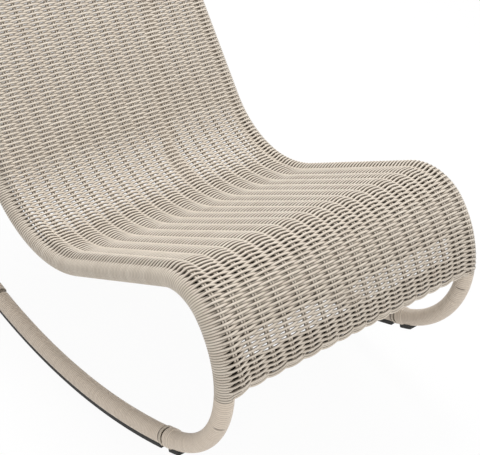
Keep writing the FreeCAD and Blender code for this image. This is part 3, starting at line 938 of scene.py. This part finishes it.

# %% [markdown]
# ## Runners, rails and dowels
# The runner strips and pads under the rockers are black rubber, moulded with a fine matt grain. The rails
# behind the web are barked rattan, the dowels inside the joints are turned beech, and the
# bindings over them are flat reed. Their shapes are right as packed, so they only take a finish; a packed
# node has no grain coordinate, so these materials read its place in metres instead.

# %% Rubber, rail and dowel materials


def solid_material(name, dark, pale, scale, roughness, relief_mm):
    """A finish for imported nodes: patches of two tones, stretched by scale, with a slight relief."""
    material, tree, surface = new_material(name)
    place = add_node(tree, "ShaderNodeTexCoord", {}).outputs["Object"]
    mapped = add_node(tree, "ShaderNodeMapping", {"Vector": place, "Scale": scale})
    patches = add_node(tree, "ShaderNodeTexNoise", {
        "Vector": mapped.outputs["Vector"], "Scale": 1.0, "Detail": 4.0,
    }).outputs["Fac"]
    colour = add_node(tree, "ShaderNodeMix", {
        "Factor": patches, "A": linear(dark), "B": linear(pale),
    }, data_type="RGBA").outputs["Result"]
    relief = add_node(tree, "ShaderNodeBump", {
        "Height": patches, "Strength": 0.3, "Distance": relief_mm * MM,
    })
    finish = add_node(tree, "ShaderNodeBsdfPrincipled", {
        "Base Color": colour, "Roughness": roughness, "IOR": 1.5, "Normal": relief.outputs["Normal"],
    })
    tree.links.new(finish.outputs["BSDF"], surface)
    return material


fine_grit = (per_metre(0.8),) * 3
across_grain = (per_metre(60), per_metre(1.2), per_metre(1.2))
rubber = solid_material("moulded_black_rubber", "#181817", "#2C2B29", fine_grit, 0.72, 0.1)
barked_rail = solid_material("barked_rattan_rail", "#2E261F", "#54463A", across_grain, 0.5, 0.2)
beech = solid_material("turned_beech", "#B98F63", "#D3B086", across_grain, 0.5, 0.1)
binding_cane = solid_material("flat_reed_binding", "#B5A897", "#D2C8B9", fine_grit, 0.5, 0.1)

FINISHES = {"runner": rubber, "rail": barked_rail, "dowel": beech, "binding": binding_cane}
for name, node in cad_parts.items():
    for word, material in FINISHES.items():
        if word in name:
            node.data.materials.clear()
            node.data.materials.append(material)
print("finished packed nodes:", sum(any(word in name for word in FINISHES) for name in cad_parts))

# %% [markdown]
# ## Studio
# The photograph is a cut-out on white under broad soft light. Here a large pale floor catches a faint
# shadow. Most of it is plain white to the camera, by a glow that shows to the camera and in reflections
# but not to diffuse rays, so it does not brighten the chair's matt surfaces.

# %% Floor
FLOOR_SIZE = 14.0
FLOOR_GLOW = 0.94


def seen_directly(tree):
    """1 for what the camera sees, directly or through a mirror or glass."""
    path = add_node(tree, "ShaderNodeLightPath", {}).outputs
    mirrored = add_node(tree, "ShaderNodeMath", {
        0: path["Is Camera Ray"], 1: path["Is Glossy Ray"],
    }, operation="MAXIMUM").outputs["Value"]
    return add_node(tree, "ShaderNodeMath", {
        0: mirrored, 1: path["Is Transmission Ray"],
    }, operation="MAXIMUM").outputs["Value"]


def paint_floor():
    """Matt pale paint, mixed with plain white where it is seen directly."""
    material, tree, surface = new_material("pale_studio_floor")
    speckle = add_node(tree, "ShaderNodeTexNoise", {"Scale": 40.0, "Detail": 2.0}).outputs["Fac"]
    colour = add_node(tree, "ShaderNodeMix", {
        "Factor": speckle, "A": linear("#F2F2F2"), "B": linear("#F6F6F6"),
    }, data_type="RGBA").outputs["Result"]
    matt = add_node(tree, "ShaderNodeBsdfDiffuse", {"Color": colour}).outputs["BSDF"]
    white = add_node(tree, "ShaderNodeEmission", {
        "Color": (1, 1, 1, 1), "Strength": 1.0,
    }).outputs["Emission"]
    share = add_node(tree, "ShaderNodeMath", {
        0: seen_directly(tree), 1: FLOOR_GLOW,
    }, operation="MULTIPLY").outputs["Value"]
    mix = add_node(tree, "ShaderNodeMixShader", {"Fac": share, 1: matt, 2: white})
    tree.links.new(mix.outputs["Shader"], surface)
    return material


floor_mesh = bpy.data.meshes.new("studio_floor")
half = FLOOR_SIZE / 2
floor_corners = [(-half, -half, 0), (half, -half, 0), (half, half, 0), (-half, half, 0)]
floor_mesh.from_pydata(floor_corners, [], [(0, 1, 2, 3)])
floor_mesh.materials.append(paint_floor())
floor = bpy.data.objects.new("studio_floor", floor_mesh)
bpy.context.scene.collection.objects.link(floor)
print(f"floor {FLOOR_SIZE:.0f} m square")

# %% [markdown]
# ## Light
# The chair is lit at a plain level by a dim world and three large soft lamps, so that colours come out
# about as they are written. To the camera and in reflections the world is plain white, as the floor is.

# %% World and lamps
WORLD_LIGHT = 0.55
world = bpy.data.worlds.new("studio")
world.use_nodes = True
world.node_tree.nodes.clear()
strength = add_node(world.node_tree, "ShaderNodeMapRange", {
    "Value": seen_directly(world.node_tree), "To Min": WORLD_LIGHT, "To Max": 1.0,
}).outputs["Result"]
sky = add_node(world.node_tree, "ShaderNodeBackground", {"Color": (1, 1, 1, 1), "Strength": strength})
add_node(world.node_tree, "ShaderNodeOutputWorld", {"Surface": sky.outputs["Background"]})
bpy.context.scene.world = world

LAMPS = {
    "key_softbox": ((-1.6, -2.2, 2.6), 1.6, 30),
    "fill_softbox": ((2.4, -1.6, 1.8), 1.8, 21),
    "top_softbox": ((0.5, 1.0, 2.9), 2.0, 60),
}
AIM = Vector((0, 0, 0.35))
for name, (place, size, watts) in LAMPS.items():
    lamp = bpy.data.lights.new(name, "AREA")
    lamp.shape = "DISK"
    lamp.size = size
    lamp.energy = watts
    holder = bpy.data.objects.new(name, lamp)
    holder.location = place
    holder.rotation_euler = (AIM - Vector(place)).to_track_quat("-Z", "Y").to_euler()
    bpy.context.scene.collection.objects.link(holder)
bpy.context.scene.view_settings.view_transform = "Standard"
print("lamps:", ", ".join(LAMPS))
